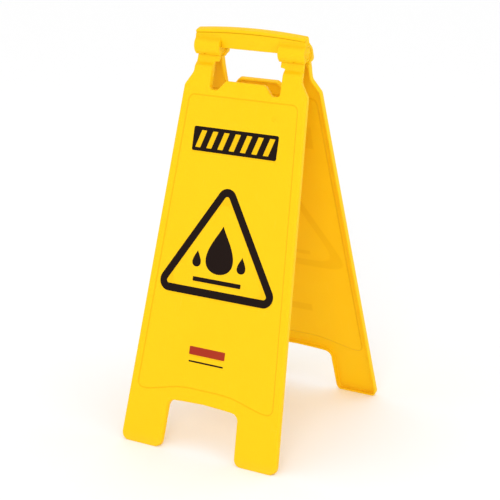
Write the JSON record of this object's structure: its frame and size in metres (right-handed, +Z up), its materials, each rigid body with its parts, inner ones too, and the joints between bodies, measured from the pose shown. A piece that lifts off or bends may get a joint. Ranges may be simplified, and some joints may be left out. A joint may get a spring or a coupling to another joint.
{
  "type": "folding floor safety sign",
  "caption": "Two-sided folding A-frame floor sign: two hollow-backed panels on a hinge under a grip handle with a clip-on cover.",
  "frame": {"origin": "on the floor, midway between the four feet", "axes": "+Z up; the hinge line runs along X; -Y is towards the front panel's printed face"},
  "size_m": [0.2808, 0.363, 0.6423],
  "materials": {
    "yellow_plastic": "satin moulded polypropylene, slightly translucent",
    "dark_print": "screen-printed ink film",
    "red_print": "screen-printed ink film"
  },
  "bodies": {
    "rear_half": {"rear_panel": "yellow_plastic", "handle_cover": "yellow_plastic", "rear_print_heading_band": "dark_print", "rear_print_warning_triangle": "dark_print", "rear_print_drop": "dark_print", "rear_print_splash_left": "dark_print", "rear_print_splash_right": "dark_print", "rear_print_floor_line": "dark_print", "rear_print_badge": "red_print", "rear_print_badge_line": "dark_print"},
    "front_half": {"front_panel": "yellow_plastic", "front_print_heading_band": "dark_print", "front_print_warning_triangle": "dark_print", "front_print_drop": "dark_print", "front_print_splash_left": "dark_print", "front_print_splash_right": "dark_print", "front_print_floor_line": "dark_print", "front_print_badge": "red_print", "front_print_badge_line": "dark_print"}
  },
  "joints": [
    {"name": "fold", "type": "hinge", "parent": "rear_half", "child": "front_half", "pos_m": [0, 0, 0.6095], "axis": [1, 0, 0], "range_deg": [0, 31.2]}
  ]
}
